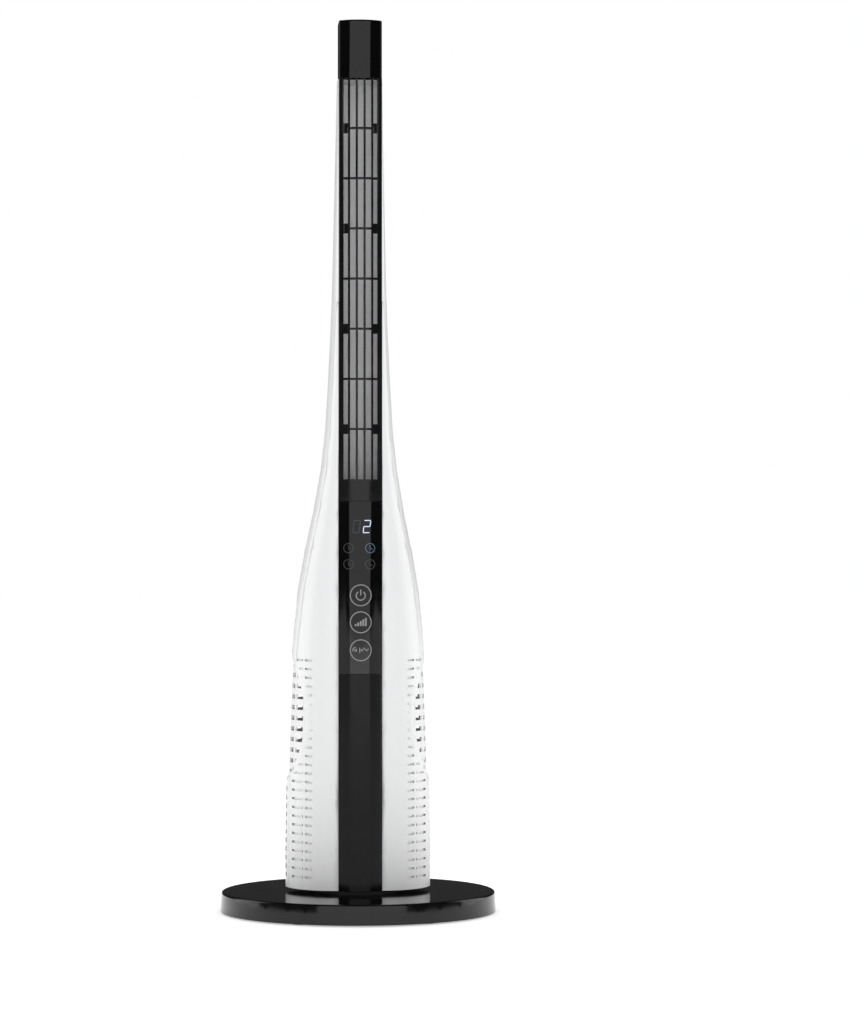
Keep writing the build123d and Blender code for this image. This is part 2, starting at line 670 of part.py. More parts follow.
# ---------------------------------------------------------------- electronics
KEY_HEIGHTS = (357.6, 327.6, 296.5)
BOARD_FRONT = -47.0
BOARD_THICK = 1.6
BOARD_HALF = 18.5


def make_control_board():
    """Long narrow board behind the touch panel."""
    board = slab(-BOARD_HALF, BOARD_HALF, BOARD_FRONT, BOARD_FRONT + BOARD_THICK, 278, 458)
    posts = [slab(s * 14 - 2, s * 14 + 2, BOARD_FRONT + BOARD_THICK, CHANNEL_FACE, z, z + 4)
             for z in (284, 448) for s in (1, -1)]
    return board + posts


def make_light_guides():
    """Three clear discs that light the key rings."""
    front = STRIP_FRONT + STRIP_SKIN + 2.6
    discs = [Pos(0, (front + BOARD_FRONT) / 2, z) * Rot(90, 0, 0) * Cylinder(12.0, BOARD_FRONT - front)
             for z in KEY_HEIGHTS]
    return solids_of(discs)


def make_display_module():
    """Two-digit display block."""
    return slab(-13, 14, BOARD_FRONT - 5.0, BOARD_FRONT, 425, 443)


def make_indicator_lights():
    """Four small lamps under the display."""
    lamps = [Pos(x, BOARD_FRONT - 2, z) * Rot(90, 0, 0) * Cylinder(2.5, 4) for x in (-13, 10) for z in (410, 392)]
    return solids_of(lamps)


def make_ir_receiver():
    """Receiver for the remote control's signal."""
    return slab(-3, 3, BOARD_FRONT - 4, BOARD_FRONT, 448, 455)


POWER_Y = -24.0


def make_power_board():
    """Supply board standing on the tower floor behind the channel."""
    return slab(-32, 32, POWER_Y, POWER_Y + BOARD_THICK, FLOOR_TOP, FLOOR_TOP + 70)


def make_transformer():
    """Small transformer on the supply board."""
    face = POWER_Y + BOARD_THICK
    core = slab(-26, 4, face, face + 22, FLOOR_TOP + 14, FLOOR_TOP + 44)
    return core + slab(-21, -1, face + 2, face + 20, FLOOR_TOP + 8, FLOOR_TOP + 50)


def make_capacitors():
    """Two smoothing capacitors."""
    cans = [Pos(x, POWER_Y + BOARD_THICK + 9, FLOOR_TOP + 22) * Rot(90, 0, 0) * Cylinder(5, 18) for x in (12, 24)]
    return solids_of(cans)


# ---------------------------------------------------------------- tower floor and swing
FLOOR_SCREWS_FRONT = ((-14, -33), (14, -33))
FLOOR_SCREWS_REAR = ((-22, 46), (22, 46))
NECK_SCREWS = ring_places(4, 39.0, pi / 4)
MOTOR_BODY_RADIUS = 12.0
MOTOR_BODY_Y = PINION_ARM - 6


def make_body_floor():
    """Plate that closes the tower and stands on the turntable."""
    flare = OUTLINE[0][1]
    inset = WALL + SEAT
    points = half_outline(flare, inset, WING_EDGE, -FACE_DEPTH + inset, seam_share(flare, 0.12))
    right = [(x, y) for x, y in points]
    run = right + [(-x, y) for x, y in points[-2::-1]]
    back_of_channel = CHANNEL_FACE + WALL + SEAT
    edge = right[0][0]
    start, end = (edge, back_of_channel), (-edge, back_of_channel)
    outline = [Spline(*run), Line(run[-1], end), Line(end, start), Line(start, run[0])]
    plate = Pos(0, 0, BODY_BOTTOM) * extrude(make_face(Wire(outline).edges()), amount=FLOOR_THICK, dir=(0, 0, 1))
    plate -= tube(14, 0, BODY_BOTTOM - 1, FLOOR_TOP + 1)
    plate -= tube(MOTOR_BODY_RADIUS + 1, 0, BODY_BOTTOM - 1, FLOOR_TOP + 1, 0, MOTOR_BODY_Y)
    for x, y in FLOOR_SCREWS_FRONT + FLOOR_SCREWS_REAR + tuple(NECK_SCREWS):
        plate -= tube(SCREW + HOLE_SLACK, 0, BODY_BOTTOM - 1, FLOOR_TOP + 1, x, y)
    return plate


def make_shell_screws():
    """Four screws from below that hold the shells to the floor."""
    return solids_of([screw_up(x, y, BODY_BOTTOM - HEAD_THICK, 12) for x, y in FLOOR_SCREWS_FRONT + FLOOR_SCREWS_REAR])


def make_turntable():
    """Flange, bearing boss and neck that carry the tower."""
    table = tube(TURN_FLANGE, 0, TURN_BOTTOM, TURN_TOP)
    table += tube(NECK_RADIUS, NECK_RADIUS - 3, TURN_TOP, BODY_BOTTOM)
    table += tube(POST_RADIUS + 3.5, 0, TURN_BOTTOM - 2, BOSS_TOP)
    for x, y in NECK_SCREWS:
        table += tube(4.5, 0, TURN_TOP, BODY_BOTTOM, x, y)
    table -= tube(POST_RADIUS + RUN, 0, 0, BODY_BOTTOM)
    table -= tube(4.0, 0, TURN_BOTTOM - 1, TURN_TOP + 1, 0, PINION_ARM)
    for x, y in NECK_SCREWS:
        table -= tube(SCREW + HOLE_SLACK, 0, BODY_BOTTOM - 7, BODY_BOTTOM, x, y)
    for x, y in FLOOR_SCREWS_FRONT + FLOOR_SCREWS_REAR:
        table -= tube(SCREW_HEAD + 0.5, 0, BODY_BOTTOM - 3, BODY_BOTTOM, x, y)
    return table


def make_turntable_screws():
    """Four screws through the floor into the neck."""
    return solids_of([screw_down(x, y, FLOOR_TOP + HEAD_THICK, 8) for x, y in NECK_SCREWS])


def make_swing_motor():
    """Small geared motor standing on the turntable."""
    case = tube(MOTOR_BODY_RADIUS, 0, TURN_TOP, TURN_TOP + 19, 0, MOTOR_BODY_Y)
    return case - tube(2.5 + RUN, 0, TURN_TOP - 1, TURN_TOP + 6, 0, PINION_ARM)


def make_swing_shaft():
    """Output shaft of the swing motor."""
    return tube(2.5, 0, FLANGE_TOP + 0.5, TURN_TOP + 5, 0, PINION_ARM)


def gear_outline(teeth, thinning):
    """Closed tooth outline with involute flanks."""
    pitch = GEAR_MODULE * teeth / 2
    base = pitch * cos(pi / 9)
    tip = pitch + TOOTH_ADD * GEAR_MODULE
    root = pitch - TOOTH_DED * GEAR_MODULE
    half_angle = (pi * GEAR_MODULE / 2 - thinning) / 2 / pitch

    def spread(radius):
        if radius <= base:
            return 0.0
        roll = ((radius / base) ** 2 - 1) ** 0.5
        return roll - atan(roll)
    at_pitch = spread(pitch)
    levels = [max(root, base * 1.0001) + (tip - max(root, base * 1.0001)) * k / 4 for k in range(5)]
    points = []
    for k in range(teeth):
        centre = 2 * pi * k / teeth
        flank = [(r, half_angle + at_pitch - spread(r)) for r in levels]
        root_half = flank[0][1]
        run = [(r, -a) for r, a in flank] + [(r, a) for r, a in flank[::-1]]
        if base > root:
            run = [(root, -root_half)] + run + [(root, root_half)]
        points += [(r * cos(centre + a), r * sin(centre + a)) for r, a in run]
    return points


def gear_body(teeth, thinning, bore, bottom, top):
    """Toothed wheel between two heights."""
    face = make_face(Polyline(*gear_outline(teeth, thinning), close=True))
    return Pos(0, 0, bottom) * extrude(face, amount=top - bottom, dir=(0, 0, 1)) - tube(bore, 0, bottom - 1, top + 1)


def make_drive_pinion():
    """Small gear on the swing motor's shaft."""
    wheel = gear_body(PINION_TEETH, BACKLASH, 2.52, FLANGE_TOP + 0.5, GEAR_TOP)
    return Pos(0, PINION_ARM, 0) * Rot(0, 0, 180 / PINION_TEETH) * wheel


def make_swing_gear():
    """Fixed gear round the post."""
    gear = gear_body(GEAR_TEETH, BACKLASH, POST_RADIUS + FIT, FLANGE_TOP, GEAR_TOP)
    for x, y in POST_SCREWS:
        gear -= tube(SCREW + HOLE_SLACK, 0, FLANGE_TOP - 1, GEAR_TOP + 1, x, y)
    return gear


POST_SCREWS = ring_places(4, 18.0, pi / 4)


def make_pivot_post():
    """Hollow post with a foot flange and a clip groove."""
    post = tube(POST_RADIUS, POST_BORE, PLATE_TOP, POST_TOP) + tube(POST_FLANGE, POST_BORE, PLATE_TOP, FLANGE_TOP)
    groove = tube(POST_RADIUS + 1, POST_RADIUS - 1, BOSS_TOP + RUN, BOSS_TOP + RUN + CLIP_THICK + RUN)
    post -= groove
    for x, y in POST_SCREWS:
        post -= tube(SCREW + HOLE_SLACK, 0, PLATE_TOP - 1, FLANGE_TOP + 1, x, y)
    return post


def make_pivot_clip():
    """Open retaining ring in the groove of the post."""
    bottom = BOSS_TOP + RUN
    ring = tube(POST_RADIUS + 3, POST_RADIUS - 1 + FIT, bottom, bottom + CLIP_THICK)
    return ring - slab(-4, 4, -20, 0, bottom - 1, bottom + CLIP_THICK + 1)


def make_post_screws():
    """Four screws that hold the gear and post to the base plate."""
    return solids_of([screw_up(x, y, PLATE_BOTTOM, GEAR_TOP - PLATE_BOTTOM - HEAD_THICK - 1) for x, y in POST_SCREWS])


def make_thrust_ring():
    """Slippery ring that carries the turntable."""
    return tube(WALL_RING_OUT, WALL_RING_IN, RING_TOP, THRUST_TOP)


# ---------------------------------------------------------------- base
COVER_SCREWS = ring_places(6, 140.0, pi / 6)
BALLAST_SCREWS = ring_places(4, 99.0, pi / 4)
FEET = ring_places(FOOT_COUNT, FOOT_CIRCLE, 0.0)
BASE_RADIUS = BASE_DIAMETER / 2


def make_base_cover():
    """Domed-edge disc with a skirt and a central opening."""
    profile = [
        (OPENING_RADIUS, COVER_UNDER), (OPENING_RADIUS, BASE_HEIGHT), (BASE_RADIUS - 3.3, BASE_HEIGHT),
        (BASE_RADIUS - 1.6, BASE_HEIGHT - 0.7), (BASE_RADIUS - 0.8, BASE_HEIGHT - 2.5), (BASE_RADIUS, PLATE_BOTTOM),
        (BASE_RADIUS - SHEET, PLATE_BOTTOM), (BASE_RADIUS - SHEET - 0.8, COVER_UNDER),
    ]
    face = Plane.XZ * make_face(Polyline(*profile, close=True))
    cover = Part() + revolve(face, Axis.Z)
    for x, y in COVER_SCREWS:
        cover += tube(4.5, 0, PLATE_TOP, COVER_UNDER, x, y)
        cover -= tube(SCREW + HOLE_SLACK, 0, PLATE_TOP, PLATE_TOP + 11, x, y)
    return cover - gland_bar(6.0 + FIT)


def gland_bar(radius):
    """Bar along Y through the rear of the skirt."""
    return Pos(0, BASE_RADIUS, 12.5) * Rot(90, 0, 0) * Cylinder(radius, 20)


def make_cord_gland():
    """Round bush in the rear of the skirt."""
    outer_face = BASE_RADIUS - 0.9
    inner_face = BASE_RADIUS - SHEET - 1.2
    body = Pos(0, (outer_face + inner_face - 4) / 2, 12.5) * Rot(90, 0, 0) * Cylinder(6.0, outer_face - inner_face + 4)
    collar = Pos(0, inner_face - 2.0, 12.5) * Rot(90, 0, 0) * Cylinder(7.5, 3.0)
    return body + collar - gland_bar(3.5)


def make_base_plate():
    """Floor of the base with the ring that carries the thrust ring."""
    plate = tube(BASE_RADIUS - SHEET - 1.1, 0, PLATE_BOTTOM, PLATE_TOP)
    plate += tube(WALL_RING_OUT, WALL_RING_IN, PLATE_TOP, RING_TOP)
    for x, y in FEET:
        plate -= tube(FOOT_DIAMETER / 2 + FIT, 0, PLATE_BOTTOM, PLATE_BOTTOM + FOOT_SINK, x, y)
    for x, y in COVER_SCREWS:
        plate -= tube(SCREW_HEAD + FIT, 0, PLATE_BOTTOM, PLATE_BOTTOM + HEAD_THICK, x, y)
        plate -= tube(SCREW + HOLE_SLACK, 0, PLATE_BOTTOM, PLATE_TOP, x, y)
    for x, y in BALLAST_SCREWS:
        plate -= tube(SCREW + HOLE_SLACK, 0, PLATE_BOTTOM, PLATE_TOP, x, y)
    for x, y in POST_SCREWS:
        plate -= tube(SCREW_HEAD + FIT, 0, PLATE_BOTTOM, PLATE_BOTTOM + HEAD_THICK, x, y)
        plate -= tube(SCREW + HOLE_SLACK, 0, PLATE_BOTTOM, PLATE_TOP, x, y)
    return plate


def make_rubber_feet():
    """Six round pads under the base."""
    return solids_of([tube(FOOT_DIAMETER / 2, 0, 0, FOOT_PAD + FOOT_SINK, x, y) for x, y in FEET])


def make_ballast_ring():
    """Steel ring that steadies the fan."""
    ring = tube(BALLAST_OUT, BALLAST_IN, PLATE_TOP, PLATE_TOP + BALLAST_THICK)
    for x, y in BALLAST_SCREWS:
        ring -= tube(SCREW + HOLE_SLACK, 0, PLATE_TOP, PLATE_TOP + BALLAST_THICK, x, y)
    return ring


def make_ballast_screws():
    """Four screws from the ballast into the base plate."""
    top = PLATE_TOP + BALLAST_THICK + HEAD_THICK
    return solids_of([screw_down(x, y, top, BALLAST_THICK + 2.5) for x, y in BALLAST_SCREWS])


def make_base_screws():
    """Six screws that close the base."""
    return solids_of([screw_up(x, y, PLATE_BOTTOM, 10) for x, y in COVER_SCREWS])


def build():
    """Make every piece."""
    PARTS["base_cover"] = make_base_cover()
    PARTS["base_plate"] = make_base_plate()
    PARTS["rubber_feet"] = make_rubber_feet()
    PARTS["ballast_ring"] = make_ballast_ring()
    PARTS["ballast_screws"] = make_ballast_screws()
    PARTS["base_screws"] = make_base_screws()
    PARTS["cord_gland"] = make_cord_gland()
    PARTS["pivot_post"] = make_pivot_post()
    PARTS["post_screws"] = make_post_screws()
    PARTS["pivot_clip"] = make_pivot_clip()
    PARTS["swing_gear"] = make_swing_gear()
    PARTS["thrust_ring"] = make_thrust_ring()
    PARTS["turntable"] = make_turntable()
    PARTS["turntable_screws"] = make_turntable_screws()
    PARTS["swing_motor"] = make_swing_motor()
    PARTS["swing_motor_shaft"] = make_swing_shaft()
    PARTS["drive_pinion"] = make_drive_pinion()
    PARTS["body_floor"] = make_body_floor()
    PARTS["shell_screws"] = make_shell_screws()
    PARTS["lower_trim"] = make_lower_trim()
    PARTS["touch_panel"] = make_touch_panel()
    PARTS["outlet_grille"] = make_outlet_grille()
    PARTS["top_cap"] = make_top_cap()
    PARTS["duct_liner"] = make_duct_liner()
    PARTS["plenum_duct"] = make_plenum()
    PARTS["scroll_left"] = make_scroll(-1)
    PARTS["scroll_right"] = make_scroll(1)
    PARTS["motor_bracket"] = make_inlet_spider(-1, MOTOR_RADIUS + 3, MOTOR_RADIUS + FIT)
    PARTS["bearing_bracket"] = make_inlet_spider(1, 9.0, 5.0 + FIT)
    PARTS["inlet_screws"] = make_scroll_screws()
    PARTS["motor_can"] = make_motor_can()
    PARTS["shaft_bushes"] = make_shaft_bushes()
    PARTS["stator_core"] = make_stator()
    PARTS["stator_windings"] = make_windings()
    PARTS["impeller"] = make_impeller()
    PARTS["impeller_screw"] = make_wheel_screw()
    PARTS["motor_shaft"] = lying(SHAFT_RADIUS, MOTOR_FAR - 2, SCROLL_HALF + 10)
    PARTS["rotor_magnet"] = make_rotor()
    PARTS["control_board"] = make_control_board()
    PARTS["key_light_guides"] = make_light_guides()
    PARTS["display_module"] = make_display_module()
    PARTS["indicator_lights"] = make_indicator_lights()
    PARTS["ir_receiver"] = make_ir_receiver()
    PARTS["power_board"] = make_power_board()
    PARTS["power_transformer"] = make_transformer()
    PARTS["power_capacitors"] = make_capacitors()
    PARTS["side_grille_left"] = make_side_grille(-1)
    PARTS["side_grille_right"] = make_side_grille(1)
    PARTS["louvre_baffle_left"] = make_louvre_baffle(-1)
    PARTS["louvre_baffle_right"] = make_louvre_baffle(1)
    PARTS["front_shell"] = make_front_shell()
    PARTS["rear_shell"] = make_rear_shell()


build()
os.makedirs("parts", exist_ok=True)
for name, shape in PARTS.items():
    export_step(shape, f"parts/{name}.step")
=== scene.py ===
"""Looks of the tower fan: white shells, glossy black strip, lit keys, weighted black base."""
import json
import math
import bpy
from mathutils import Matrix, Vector


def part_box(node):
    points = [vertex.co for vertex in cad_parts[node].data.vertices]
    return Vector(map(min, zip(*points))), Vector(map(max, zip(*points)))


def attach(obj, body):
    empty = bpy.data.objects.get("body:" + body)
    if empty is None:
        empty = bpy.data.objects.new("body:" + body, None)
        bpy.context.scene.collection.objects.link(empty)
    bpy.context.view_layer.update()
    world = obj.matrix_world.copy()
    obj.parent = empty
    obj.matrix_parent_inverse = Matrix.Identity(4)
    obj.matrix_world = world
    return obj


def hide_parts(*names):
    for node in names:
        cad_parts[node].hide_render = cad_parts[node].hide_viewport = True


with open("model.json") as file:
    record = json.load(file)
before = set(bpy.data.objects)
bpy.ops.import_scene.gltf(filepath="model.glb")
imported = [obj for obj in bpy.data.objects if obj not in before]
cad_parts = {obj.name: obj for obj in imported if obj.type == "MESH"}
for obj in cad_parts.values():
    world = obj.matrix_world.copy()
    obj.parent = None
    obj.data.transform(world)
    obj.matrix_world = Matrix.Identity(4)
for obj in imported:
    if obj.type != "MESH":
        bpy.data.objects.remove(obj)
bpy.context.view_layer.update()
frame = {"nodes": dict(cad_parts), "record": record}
NODES = frame["nodes"]
MM = 0.001

# shading scales: noise levels where a ramp starts and ends, and the size of each drift in metres
RAMP_START, RAMP_END = 0.3, 0.7
EDGE_SAMPLES = 6
COLOUR_DRIFT = 0.09
GLOSS_SMEAR = 0.02
INK_MOTTLE = 0.004
PAPER_MOTTLE = 1.2
STREAK_PER_GRAIN = 8
GRAIN_DETAIL, DRIFT_DETAIL, SMEAR_DETAIL = 2.0, 4.0, 5.0


# ------------------------------------------------------------ shader helpers
def new_finish(name, colour, rough, coat=0.0, coat_rough=0.03, metal=0.0, specular=0.5):
    """Start a node finish with its constants on the shader's own sockets."""
    mat = bpy.data.materials.new(name)
    mat.use_nodes = True
    tree = mat.node_tree
    shader = tree.nodes["Principled BSDF"]
    shader.inputs["Base Color"].default_value = (*colour, 1)
    shader.inputs["Roughness"].default_value = rough
    shader.inputs["Metallic"].default_value = metal
    shader.inputs["Coat Weight"].default_value = coat
    shader.inputs["Coat Roughness"].default_value = coat_rough
    shader.inputs["Specular IOR Level"].default_value = specular
    return mat, tree, shader


def object_point(tree, scale=(1, 1, 1)):
    """Object coordinates, scaled."""
    place = tree.nodes.new("ShaderNodeTexCoord")
    mapping = tree.nodes.new("ShaderNodeMapping")
    mapping.inputs["Scale"].default_value = scale
    tree.links.new(place.outputs["Object"], mapping.inputs["Vector"])
    return mapping.outputs["Vector"]


def noise(tree, vector, size, detail=3.0):
    """Noise whose features are about size metres across."""
    node = tree.nodes.new("ShaderNodeTexNoise")
    node.inputs["Scale"].default_value = 1 / size
    node.inputs["Detail"].default_value = detail
    tree.links.new(vector, node.inputs["Vector"])
    return node.outputs["Fac"]


def tint(tree, value, low, high):
    """Colour ramp between two shades."""
    ramp = tree.nodes.new("ShaderNodeValToRGB")
    ramp.color_ramp.elements[0].position = RAMP_START
    ramp.color_ramp.elements[1].position = RAMP_END
    ramp.color_ramp.elements[0].color = (*low, 1)
    ramp.color_ramp.elements[1].color = (*high, 1)
    tree.links.new(value, ramp.inputs["Fac"])
    return ramp.outputs["Color"]


def span(tree, value, low, high):
    """Map a 0 to 1 value on to a range."""
    node = tree.nodes.new("ShaderNodeMapRange")
    node.inputs["From Min"].default_value = RAMP_START
    node.inputs["From Max"].default_value = RAMP_END
    node.inputs["To Min"].default_value = low
    node.inputs["To Max"].default_value = high
    tree.links.new(value, node.inputs["Value"])
    return node.outputs["Result"]


def relief(tree, shader, value, depth, round_edge=0.0):
    """Fine surface relief of a given depth in metres, with softened edges."""
    bump = tree.nodes.new("ShaderNodeBump")
    bump.inputs["Strength"].default_value = 1.0
    bump.inputs["Distance"].default_value = depth
    tree.links.new(value, bump.inputs["Height"])
    if round_edge > 0:
        edge = tree.nodes.new("ShaderNodeBevel")
        edge.samples = EDGE_SAMPLES
        edge.inputs["Radius"].default_value = round_edge
        tree.links.new(edge.outputs["Normal"], bump.inputs["Normal"])
    tree.links.new(bump.outputs["Normal"], shader.inputs["Normal"])


def moulded(name, low, high, rough_low, rough_high, grain=0.0004, depth=0.000004, coat=0.0, round_edge=0.0004,
            specular=0.5, coat_rough=0.03):
    """Injection-moulded plastic: faint colour drift, fine grain and slight gloss variation."""
    mat, tree, shader = new_finish(name, high, rough_high, coat, coat_rough, specular=specular)
    point = object_point(tree)
    drift = noise(tree, point, COLOUR_DRIFT, DRIFT_DETAIL)
    tree.links.new(tint(tree, drift, low, high), shader.inputs["Base Color"])
    smear = noise(tree, point, GLOSS_SMEAR, SMEAR_DETAIL)
    tree.links.new(span(tree, smear, rough_low, rough_high), shader.inputs["Roughness"])
    relief(tree, shader, noise(tree, point, grain, GRAIN_DETAIL), depth, round_edge)
    return mat


def metal_finish(name, low, high, rough_low, rough_high, stretch=(1, 1, 1), grain=0.0006, depth=0.000004):
    """Machined, rolled or plated metal with directional grain."""
    mat, tree, shader = new_finish(name, high, rough_high, metal=1.0)
    point = object_point(tree, stretch)
    streak = noise(tree, point, grain * STREAK_PER_GRAIN, SMEAR_DETAIL)
    tree.links.new(tint(tree, streak, low, high), shader.inputs["Base Color"])
    tree.links.new(span(tree, streak, rough_low, rough_high), shader.inputs["Roughness"])
    relief(tree, shader, noise(tree, point, grain, GRAIN_DETAIL), depth)
    return mat


# ------------------------------------------------------------ finishes
WHITE = moulded("white_moulded_shell", (0.785, 0.79, 0.795), (0.80, 0.805, 0.81), 0.28, 0.33, grain=0.002,
                depth=0.000001, round_edge=0.0)
WHITE_INNER = moulded("white_louvred_shell", (0.785, 0.79, 0.795), (0.80, 0.805, 0.81), 0.34, 0.40,
                      grain=0.002, depth=0.000001, round_edge=0.0)
BLACK = moulded("piano_black_strip", (0.0018, 0.0018, 0.002), (0.003, 0.003, 0.0033), 0.03, 0.06, grain=0.002,
                depth=0.0000005, specular=0.34, round_edge=0.0003)
GRILLE_BLACK = moulded("satin_black_outlet", (0.003, 0.003, 0.0032), (0.005, 0.005, 0.0055), 0.16, 0.24,
                       grain=0.0006, depth=0.000002, specular=0.3, round_edge=0.0003)
BASE_GLOSS = moulded("gloss_black_base", (0.003, 0.003, 0.0033), (0.005, 0.005, 0.0055), 0.09, 0.14,
                     grain=0.003, depth=0.000001, specular=0.38, round_edge=0.0008)
DARK = moulded("dark_matt_plastic", (0.018, 0.018, 0.019), (0.028, 0.028, 0.029), 0.5, 0.62, depth=0.00002)
TRIM_BLACK = moulded("satin_black_lower_trim", (0.0018, 0.0018, 0.002), (0.003, 0.003, 0.0033), 0.1, 0.16,
                     grain=0.002, depth=0.0000005, specular=0.17, round_edge=0.0003)
GREY = moulded("grey_duct_plastic", (0.85, 0.85, 0.855), (0.89, 0.89, 0.895), 0.5, 0.6, depth=0.00001)
RUBBER = moulded("foot_rubber_black", (0.012, 0.012, 0.012), (0.02, 0.02, 0.02), 0.75, 0.85, depth=0.00003)
ACETAL = moulded("ivory_acetal", (0.72, 0.71, 0.66), (0.78, 0.77, 0.72), 0.3, 0.38)
WHEEL = moulded("charcoal_wheel_plastic", (0.06, 0.06, 0.065), (0.08, 0.08, 0.085), 0.4, 0.5)
CLEAR = moulded("frosted_light_guide", (0.62, 0.66, 0.7), (0.7, 0.74, 0.78), 0.35, 0.45)
SLEEVE = moulded("blue_shrink_sleeve", (0.02, 0.03, 0.09), (0.03, 0.04, 0.12), 0.25, 0.32)
BOARD = moulded("green_solder_mask", (0.015, 0.09, 0.04), (0.02, 0.12, 0.055), 0.3, 0.4,
                grain=0.001, depth=0.00001)
STEEL = metal_finish("zinc_plated_steel", (0.45, 0.46, 0.48), (0.6, 0.61, 0.62), 0.25, 0.4)
SPRING = metal_finish("oiled_spring_steel", (0.16, 0.16, 0.17), (0.24, 0.24, 0.25), 0.3, 0.42)
SHAFT = metal_finish("ground_shaft_steel", (0.6, 0.6, 0.61), (0.7, 0.7, 0.71), 0.12, 0.22,
                      stretch=(0.05, 1, 1))
BALLAST = metal_finish("rolled_ballast_steel", (0.26, 0.26, 0.27), (0.38, 0.38, 0.39), 0.38, 0.55,
                        stretch=(1, 0.2, 1))
MOTOR = metal_finish("pressed_motor_steel", (0.4, 0.4, 0.42), (0.52, 0.52, 0.54), 0.28, 0.4,
                      stretch=(0.2, 1, 1))
LAMINATION = metal_finish("varnished_laminations", (0.1, 0.1, 0.11), (0.18, 0.18, 0.19), 0.4, 0.5,
                          stretch=(20, 1, 1))
MAGNET = metal_finish("sintered_magnet", (0.06, 0.06, 0.065), (0.1, 0.1, 0.105), 0.5, 0.6)
BRONZE = metal_finish("oiled_bronze", (0.42, 0.26, 0.12), (0.56, 0.37, 0.18), 0.3, 0.42)
COPPER = metal_finish("enamelled_copper_wire", (0.5, 0.2, 0.08), (0.72, 0.33, 0.15), 0.22, 0.34,
                       stretch=(1, 14, 14))

FINISH_OF_SLOT = {
    "white_plastic": WHITE, "gloss_black": BLACK, "base_black": BASE_GLOSS, "dark_plastic": DARK,
    "grey_plastic": GREY, "foot_rubber": RUBBER, "ballast_steel": BALLAST, "screw_steel": STEEL,
    "spring_steel": SPRING, "shaft_steel": SHAFT, "motor_steel": MOTOR, "lamination": LAMINATION,
    "magnet": MAGNET, "bronze": BRONZE, "copper": COPPER, "acetal": ACETAL, "wheel_plastic": WHEEL,
    "clear_plastic": CLEAR, "circuit_board": BOARD, "capacitor_sleeve": SLEEVE,
}
SLOT_OF_NODE = {s["node"]: s["material_slot"] for s in frame["record"]["subparts"]}
BODY_OF_NODE = {n: b for b, ns in frame["record"]["behaviour"]["bodies"].items() for n in ns}


def dress(piece, finish):
    """Give a piece one finish all over."""
    piece.data.materials.clear()
    piece.data.materials.append(finish)


for node_name, node in NODES.items():
    dress(node, FINISH_OF_SLOT[SLOT_OF_NODE[node_name]])


# ------------------------------------------------------------ modelling helpers
WELD_REACH = 0.000001
SMOOTH_ANGLE = math.radians(30)


def clear_selection():
    """Nothing selected and no active piece."""
    if bpy.context.object and bpy.context.object.mode != "OBJECT":
        bpy.ops.object.mode_set(mode="OBJECT")
    bpy.ops.object.select_all(action="DESELECT")


def pick(piece):
    """Make one piece the only selected and active one."""
    clear_selection()
    piece.select_set(True)
    bpy.context.view_layer.objects.active = piece


def skin_from(node_name, piece_name, finish):
    """A welded, smoothly shaded skin with the shape of one CAD piece, which it stands for."""
    source = NODES[node_name]
    piece = bpy.data.objects.new(piece_name, source.data.copy())
    bpy.context.scene.collection.objects.link(piece)
    pick(piece)
    bpy.ops.object.mode_set(mode="EDIT")
    bpy.ops.mesh.select_all(action="SELECT")
    bpy.ops.mesh.remove_doubles(threshold=WELD_REACH)
    bpy.ops.mesh.select_all(action="DESELECT")
    bpy.ops.object.mode_set(mode="OBJECT")
    bpy.ops.object.shade_smooth_by_angle(angle=SMOOTH_ANGLE)
    even = piece.modifiers.new("even", "WEIGHTED_NORMAL")
    even.keep_sharp = True
    bpy.ops.object.modifier_apply(modifier="even")
    dress(piece, finish)
    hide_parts(node_name)
    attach(piece, BODY_OF_NODE[node_name])
    return piece


SKINS = [
    ("front_shell", "front_shell_skin", WHITE), ("rear_shell", "rear_shell_skin", WHITE),
    ("side_grille_left", "side_grille_left_skin", WHITE_INNER),
    ("side_grille_right", "side_grille_right_skin", WHITE_INNER),
    ("top_cap", "top_cap_skin", BLACK), ("touch_panel", "touch_panel_skin", BLACK),
    ("lower_trim", "lower_trim_skin", TRIM_BLACK), ("outlet_grille", "outlet_grille_skin", GRILLE_BLACK),
    ("base_cover", "base_cover_skin", BASE_GLOSS), ("duct_liner", "duct_liner_skin", GREY),
    ("turntable", "turntable_skin", DARK),
]
for node_name, piece_name, finish in SKINS:
    skin_from(node_name, piece_name, finish)

# how far the louvre backings are scaled out from the tower's middle line
BACKING_DRAW = 1.04


def draw_up_backing(side):
    """White screen of one wing, drawn up close behind its slots."""
    skin_from(f"louvre_baffle_{side}", f"louvre_baffle_{side}_skin", WHITE)
    bpy.ops.object.mode_set(mode="EDIT")
    bpy.ops.mesh.select_all(action="SELECT")
    bpy.ops.transform.resize(value=(BACKING_DRAW, BACKING_DRAW, 1), center_override=(0, 0, 0))
    bpy.ops.mesh.select_all(action="DESELECT")
    bpy.ops.object.mode_set(mode="OBJECT")


for wing in ("left", "right"):
    draw_up_backing(wing)


# ------------------------------------------------------------ printed and lit marks
def lamp_or_painted_glow_ink(name, low, high, glow):
    """Translucent ink that glows, a little uneven: over a lit lamp the glow is the lamp's light, on unlit
    marks it is painted glow.
    """
    mat, tree, shader = new_finish(name, high, 0.35)
    shade = tint(tree, noise(tree, object_point(tree), INK_MOTTLE), low, high)
    tree.links.new(shade, shader.inputs["Base Color"])
    tree.links.new(shade, shader.inputs["Emission Color"])
    shader.inputs["Emission Strength"].default_value = glow
    return mat


